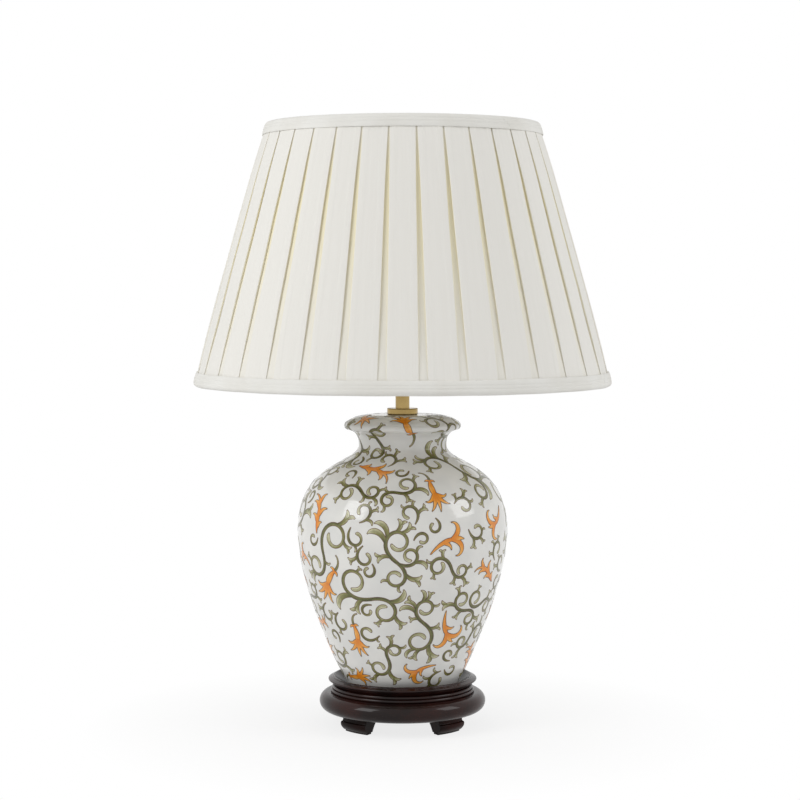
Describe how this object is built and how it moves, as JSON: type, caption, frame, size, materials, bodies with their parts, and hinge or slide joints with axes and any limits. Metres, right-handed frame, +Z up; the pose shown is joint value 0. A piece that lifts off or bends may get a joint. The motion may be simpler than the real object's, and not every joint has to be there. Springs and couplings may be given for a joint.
{
  "type": "bedside lamp",
  "caption": "Bedside lamp with a box-pleated empire shade on a wire carrier, a painted porcelain jar with a brass collar and stem, and a turned dark wood stand on carved feet.",
  "frame": {"origin": "on the surface that the lamp stands on, under the jar's axis", "axes": "+Z up along the jar's axis, -Y towards the front that the picture shows, +Y towards the cord inlet"},
  "size_m": [0.4576, 0.4576, 0.662],
  "materials": {
    "felt": "dark pressed felt",
    "stand_wood": "dark stained hardwood, satin lacquer",
    "grommet_rubber": "black moulded rubber",
    "plated_steel": "zinc plated",
    "porcelain": "white glaze with painted scrolling vines",
    "brass": "antique brass, satin",
    "black_moulding": "black moulded phenolic",
    "white_moulding": "white moulded plastic",
    "bulb_metal": "rolled nickel-plated cap",
    "bulb_glass": "clear glass",
    "filament": "yellow phosphor-coated filament",
    "white_wire": "white powder-coated wire",
    "shade_lining": "matt white laminated lining",
    "shade_cloth": "ivory silk-like cotton, pleated"
  },
  "bodies": {
    "base": {"brass_collar": "brass", "brass_stem": "brass", "centre_rod": "plated_steel", "clamp_ring_lower": "brass", "clamp_ring_upper": "brass", "cord_grommet": "grommet_rubber", "felt_pad_front_left": "felt", "felt_pad_front_right": "felt", "felt_pad_rear_left": "felt", "felt_pad_rear_right": "felt", "foot_dowels": "stand_wood", "foot_front_left": "stand_wood", "foot_front_right": "stand_wood", "foot_rear_left": "stand_wood", "foot_rear_right": "stand_wood", "jar_seat_felt": "felt", "jar_top_gasket": "grommet_rubber", "lampholder_cap": "brass", "lampholder_skirt": "brass", "porcelain_jar": "porcelain", "rod_nut": "plated_steel", "rod_washer": "plated_steel", "socket_contact": "plated_steel", "socket_liner": "white_moulding", "socket_shell": "brass", "stand_plinth": "stand_wood", "terminal_block": "black_moulding", "terminal_screws": "plated_steel"},
    "switch": {"switch_bar": "black_moulding", "switch_buttons": "black_moulding"},
    "carrier": {"carrier_ring": "brass", "carrier_arm_left": "brass", "carrier_arm_right": "brass", "carrier_gallery": "brass"},
    "shade": {"shade_bottom_trim": "shade_cloth", "shade_bottom_wire": "white_wire", "shade_fitter": "white_wire", "shade_lining": "shade_lining", "shade_pleats": "shade_cloth", "shade_strut_1": "white_wire", "shade_strut_2": "white_wire", "shade_strut_3": "white_wire", "shade_top_trim": "shade_cloth", "shade_top_wire": "white_wire"},
    "bulb_foot": {"bulb_tip": "bulb_metal", "bulb_insulator": "black_moulding"},
    "bulb": {"bulb_screw_cap": "bulb_metal", "bulb_glass": "bulb_glass", "bulb_mount": "bulb_glass", "bulb_filaments": "filament"}
  },
  "joints": [
    {"name": "switch_push", "type": "slide", "parent": "base", "child": "switch", "axis": [1, 0, 0], "range_m": [0, 0.006]},
    {"name": "carrier_turn", "type": "hinge", "parent": "base", "child": "carrier", "pos_m": [0, 0, 0.4373], "axis": [0, 0, 1], "continuous": true},
    {"name": "shade_lift", "type": "slide", "parent": "carrier", "child": "shade", "axis": [0, 0, 1], "range_m": [0, 0.28]},
    {"name": "bulb_rise", "type": "slide", "parent": "base", "child": "bulb_foot", "axis": [0, 0, 1], "range_m": [0, 0.0182]},
    {"name": "bulb_turn", "type": "hinge", "parent": "bulb_foot", "child": "bulb", "pos_m": [0, 0, 0.44], "axis": [0, 0, 1], "range_deg": [0, 1800]}
  ],
  "couplings": [
    {"joint": "bulb_rise", "follows": "bulb_turn", "m_per_rad": 0.00057757}
  ]
}
